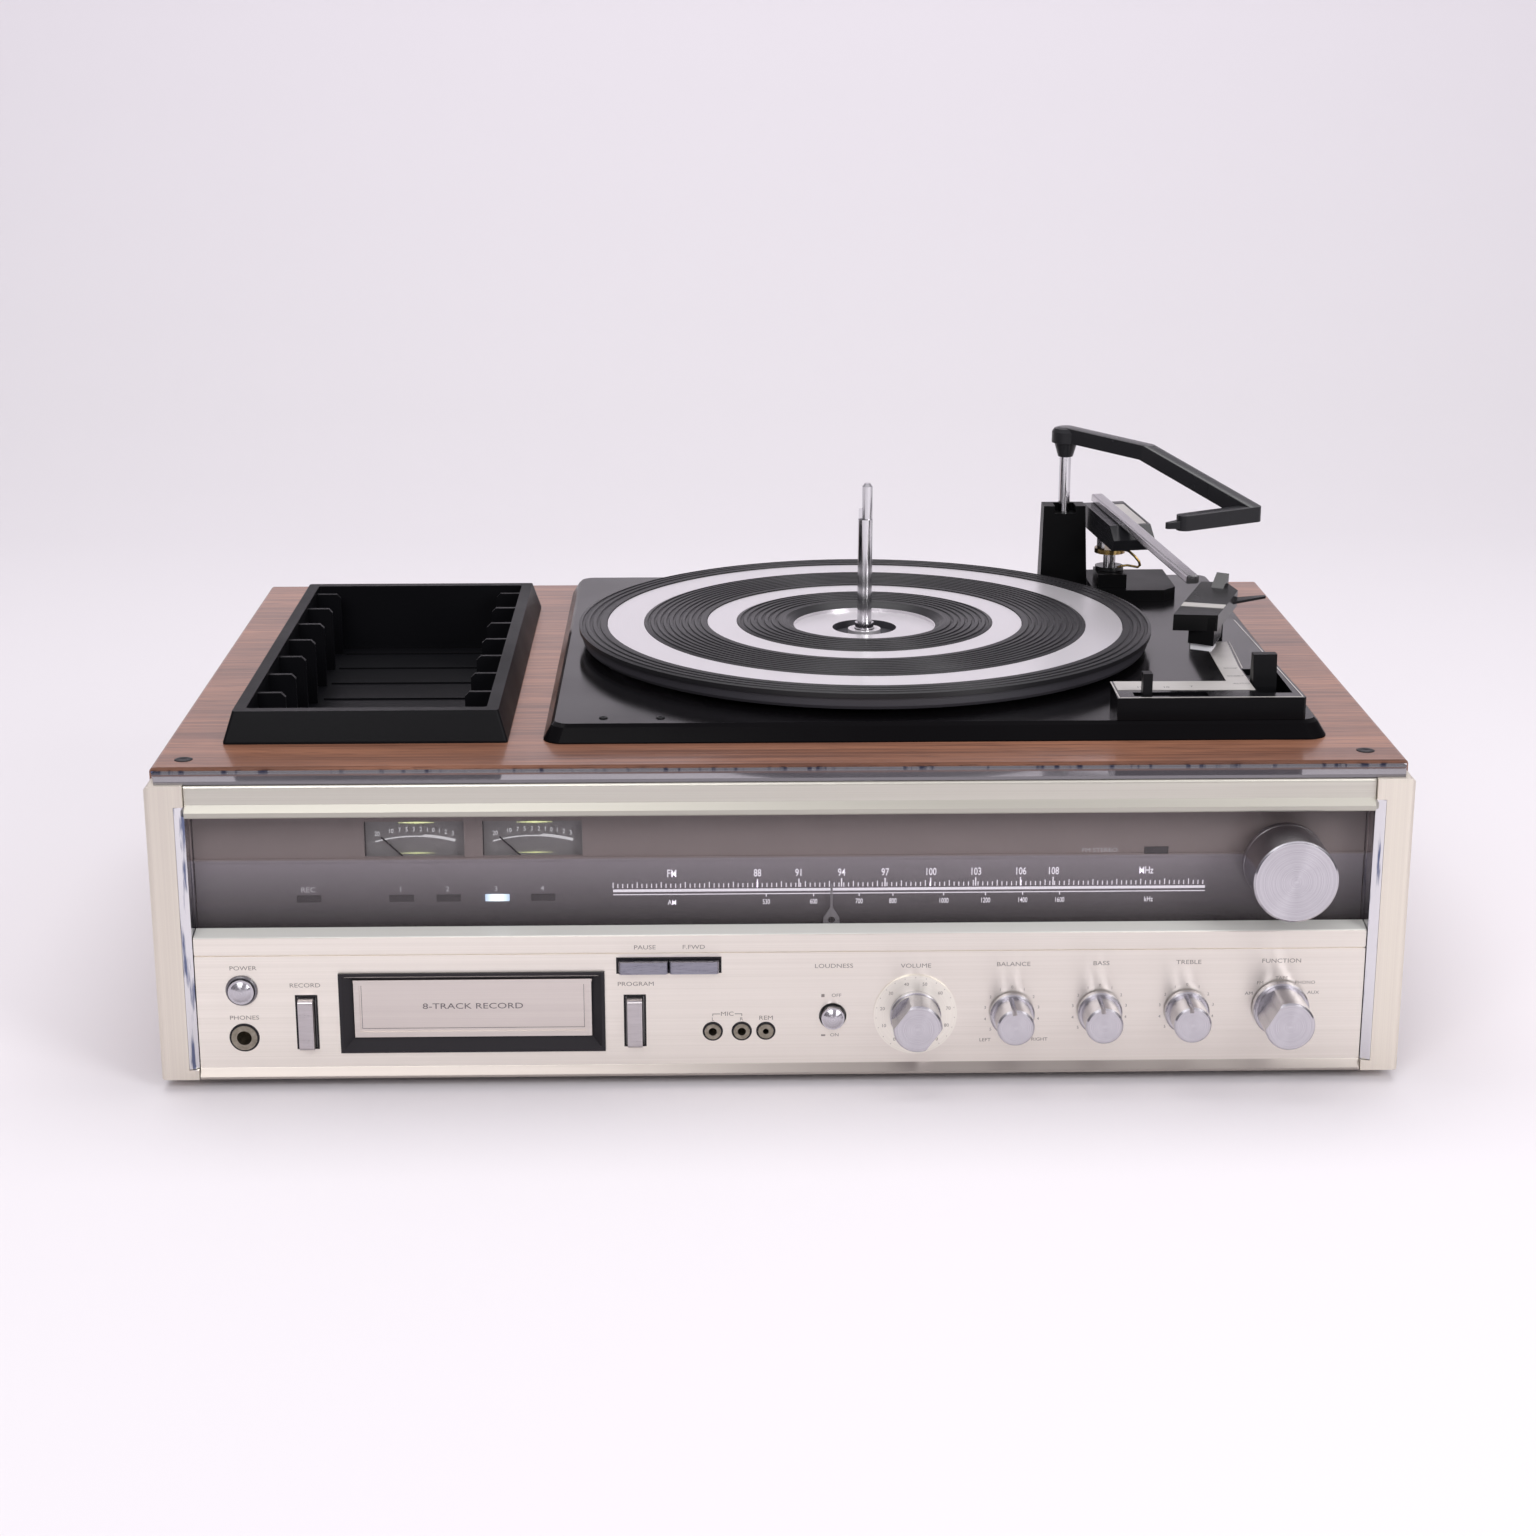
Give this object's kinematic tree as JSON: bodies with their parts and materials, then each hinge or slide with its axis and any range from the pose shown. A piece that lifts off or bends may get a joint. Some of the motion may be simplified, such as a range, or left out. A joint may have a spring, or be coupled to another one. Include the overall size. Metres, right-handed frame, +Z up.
{
  "type": "compact stereo with record changer",
  "caption": "Walnut cabinet with a record changer and a cartridge tray on top, and a tuner, level meters, knobs and an 8-track recorder behind a smoked and brushed metal front.",
  "frame": {"origin": "bottom centre of the whole player's bounding box, on the surface that it stands on", "axes": "+X to the right seen from the front, +Y from the front to the back, +Z up"},
  "size_m": [0.54, 0.3926, 0.2368],
  "materials": {
    "walnut": "walnut vinyl veneer, satin",
    "champagne_metal": "brushed sideways, champagne tint",
    "bright_trim": "bright polished trim",
    "sheet_steel": "black paint on sheet steel",
    "hardboard": "raw dark hardboard",
    "terminal_metal": "plated steel",
    "black_plastic": "fine satin",
    "gloss_black": "polished black",
    "smoked_window": "smoked clear plastic",
    "dial_face": "smoke-grey print with pale scales",
    "lens": "frosted lens",
    "meter_case": "black case with a pale scale",
    "rubber_black": "matte",
    "knob_metal": "turned sides with a spun face",
    "plated_steel": "zinc plated",
    "mat_rubber": "ribbed, satin",
    "spun_aluminium": "spun rings",
    "circuit_laminate": "tan laminate with parts",
    "transformer_iron": "varnished laminations",
    "brass": "turned brass",
    "chrome_steel": "polished steel",
    "grey_plastic": "satin silver-grey"
  },
  "bodies": {
    "chassis": {"cabinet": "walnut", "bottom_pan": "sheet_steel", "back_panel": "hardboard", "terminal_plate": "terminal_metal", "rear_fittings": "terminal_metal", "feet": "rubber_black", "end_caps": "champagne_metal", "bright_strips": "bright_trim", "trim_bar": "champagne_metal", "top_ledge": "gloss_black", "dial_window": "smoked_window", "dial_plate": "dial_face", "dial_lamps": "lens", "level_meters": "meter_case", "lower_panel": "champagne_metal", "cartridge_bezel": "black_plastic", "cartridge_guide": "plated_steel", "tape_motor": "plated_steel", "front_jacks": "plated_steel", "volume_scale": "champagne_metal", "control_bodies": "plated_steel", "circuit_board": "circuit_laminate", "power_transformer": "transformer_iron", "cartridge_tray": "black_plastic", "deck": "sheet_steel", "platter_motor": "plated_steel", "spindle": "chrome_steel", "control_cover": "black_plastic", "holder_tower": "black_plastic", "arm_base": "black_plastic"},
    "left_needle": {"left_needle": "black_plastic"},
    "right_needle": {"right_needle": "black_plastic"},
    "pointer": {"dial_pointer": "lens"},
    "door": {"cartridge_door": "grey_plastic"},
    "flywheel": {"capstan": "chrome_steel"},
    "head_carriage": {"tape_head": "plated_steel"},
    "power": {"power_button": "knob_metal"},
    "record": {"record_key": "grey_plastic"},
    "pause": {"pause_key": "grey_plastic"},
    "forward": {"forward_key": "grey_plastic"},
    "program": {"program_key": "grey_plastic"},
    "loudness": {"loudness_button": "knob_metal"},
    "volume": {"volume_knob": "knob_metal"},
    "balance": {"balance_knob": "knob_metal"},
    "bass": {"bass_knob": "knob_metal"},
    "treble": {"treble_knob": "knob_metal"},
    "function": {"function_knob": "knob_metal"},
    "tuning": {"tuning_knob": "knob_metal"},
    "pulley": {"motor_pulley": "brass"},
    "idler": {"idler_wheel": "rubber_black"},
    "turntable": {"platter": "spun_aluminium", "record_mat": "mat_rubber"},
    "size": {"size_lever": "gloss_black"},
    "play": {"play_lever": "gloss_black"},
    "post": {"holder_post": "chrome_steel"},
    "holder": {"record_holder": "black_plastic"},
    "yoke": {"arm_yoke": "brass"},
    "arm": {"arm_housing": "black_plastic", "tonearm": "spun_aluminium", "headshell": "black_plastic"}
  },
  "joints": [
    {"name": "left_needle_swing", "type": "hinge", "parent": "chassis", "child": "left_needle", "pos_m": [-0.1583, -0.15475, 0.0949], "axis": [0, 1, 0], "range_deg": [0, 90], "stiffness_Nm_per_rad": 0.00002, "springref_deg": -11.46},
    {"name": "right_needle_swing", "type": "hinge", "parent": "chassis", "child": "right_needle", "pos_m": [-0.1074, -0.15475, 0.0949], "axis": [0, 1, 0], "range_deg": [0, 90], "stiffness_Nm_per_rad": 0.00002, "springref_deg": -11.46},
    {"name": "tuning_turn", "type": "hinge", "parent": "chassis", "child": "tuning", "pos_m": [0.2172, -0.16295, 0.0977], "axis": [0, 1, 0], "range_deg": [-515, 1461]},
    {"name": "pointer_slide", "type": "slide", "parent": "chassis", "child": "pointer", "axis": [1, 0, 0], "range_m": [-0.036, 0.102]},
    {"name": "door_swing", "type": "hinge", "parent": "chassis", "child": "door", "pos_m": [-0.1343, -0.16755, 0.0475], "axis": [1, 0, 0], "range_deg": [0, 80], "stiffness_Nm_per_rad": 0.003, "springref_deg": -28.65},
    {"name": "capstan_spin", "type": "hinge", "parent": "chassis", "child": "flywheel", "pos_m": [-0.1663, -0.05175, 0.025], "axis": [0, 0, 1], "continuous": true},
    {"name": "head_step", "type": "slide", "parent": "chassis", "child": "head_carriage", "axis": [0, 0, 1], "range_m": [-0.0024, 0]},
    {"name": "power_push", "type": "slide", "parent": "chassis", "child": "power", "axis": [0, 1, 0], "range_m": [0, 0.0025], "stiffness_N_per_m": 300, "springref_m": -0.002},
    {"name": "record_push", "type": "slide", "parent": "chassis", "child": "record", "axis": [0, 1, 0], "range_m": [0, 0.0025], "stiffness_N_per_m": 300, "springref_m": -0.002},
    {"name": "pause_push", "type": "slide", "parent": "chassis", "child": "pause", "axis": [0, 1, 0], "range_m": [0, 0.0025], "stiffness_N_per_m": 300, "springref_m": -0.002},
    {"name": "forward_push", "type": "slide", "parent": "chassis", "child": "forward", "axis": [0, 1, 0], "range_m": [0, 0.0025], "stiffness_N_per_m": 300, "springref_m": -0.002},
    {"name": "program_push", "type": "slide", "parent": "chassis", "child": "program", "axis": [0, 1, 0], "range_m": [0, 0.0025], "stiffness_N_per_m": 300, "springref_m": -0.002},
    {"name": "loudness_push", "type": "slide", "parent": "chassis", "child": "loudness", "axis": [0, 1, 0], "range_m": [0, 0.0025], "stiffness_N_per_m": 300, "springref_m": -0.002},
    {"name": "volume_turn", "type": "hinge", "parent": "chassis", "child": "volume", "pos_m": [0.0579, -0.17175, 0.0319], "axis": [0, 1, 0], "range_deg": [0, 288]},
    {"name": "balance_turn", "type": "hinge", "parent": "chassis", "child": "balance", "pos_m": [0.1, -0.17175, 0.0321], "axis": [0, 1, 0], "range_deg": [-150, 150]},
    {"name": "bass_turn", "type": "hinge", "parent": "chassis", "child": "bass", "pos_m": [0.1382, -0.17175, 0.0326], "axis": [0, 1, 0], "range_deg": [-150, 150]},
    {"name": "treble_turn", "type": "hinge", "parent": "chassis", "child": "treble", "pos_m": [0.1762, -0.17175, 0.0327], "axis": [0, 1, 0], "range_deg": [-150, 150]},
    {"name": "function_turn", "type": "hinge", "parent": "chassis", "child": "function", "pos_m": [0.217, -0.17175, 0.0341], "axis": [0, 1, 0], "range_deg": [-60, 60]},
    {"name": "platter_spin", "type": "hinge", "parent": "chassis", "child": "turntable", "pos_m": [0.0453, 0.02685, 0.155], "axis": [0, 0, 1], "continuous": true},
    {"name": "idler_spin", "type": "hinge", "parent": "chassis", "child": "idler", "pos_m": [-0.01085, -0.0704, 0.153], "axis": [0, 0, 1], "continuous": true},
    {"name": "pulley_spin", "type": "hinge", "parent": "chassis", "child": "pulley", "pos_m": [0.0093, -0.0535, 0.153], "axis": [0, 0, 1], "continuous": true},
    {"name": "size_slide", "type": "slide", "parent": "chassis", "child": "size", "axis": [1, 0, 0], "range_m": [0, 0.019]},
    {"name": "play_slide", "type": "slide", "parent": "chassis", "child": "play", "axis": [0, 1, 0], "range_m": [-0.015, 0.005]},
    {"name": "post_slide", "type": "slide", "parent": "chassis", "child": "post", "axis": [0, 0, 1], "range_m": [-0.01, 0]},
    {"name": "holder_swing", "type": "hinge", "parent": "post", "child": "holder", "pos_m": [0.156, 0.13725, 0.225], "axis": [0, 0, -1], "range_deg": [0, 70]},
    {"name": "arm_swing", "type": "hinge", "parent": "chassis", "child": "yoke", "pos_m": [0.1795, 0.12725, 0.165], "axis": [0, 0, -1], "range_deg": [0, 42]},
    {"name": "arm_lift", "type": "hinge", "parent": "yoke", "child": "arm", "pos_m": [0.1795, 0.12725, 0.1858], "axis": [-0.9833, -0.1822, 0], "range_deg": [0, 5]}
  ],
  "couplings": [
    {"joint": "pointer_slide", "follows": "tuning_turn", "m_per_rad": 0.004},
    {"joint": "idler_spin", "follows": "platter_spin", "ratio": 6.1182},
    {"joint": "pulley_spin", "follows": "platter_spin", "ratio": -33.65}
  ]
}
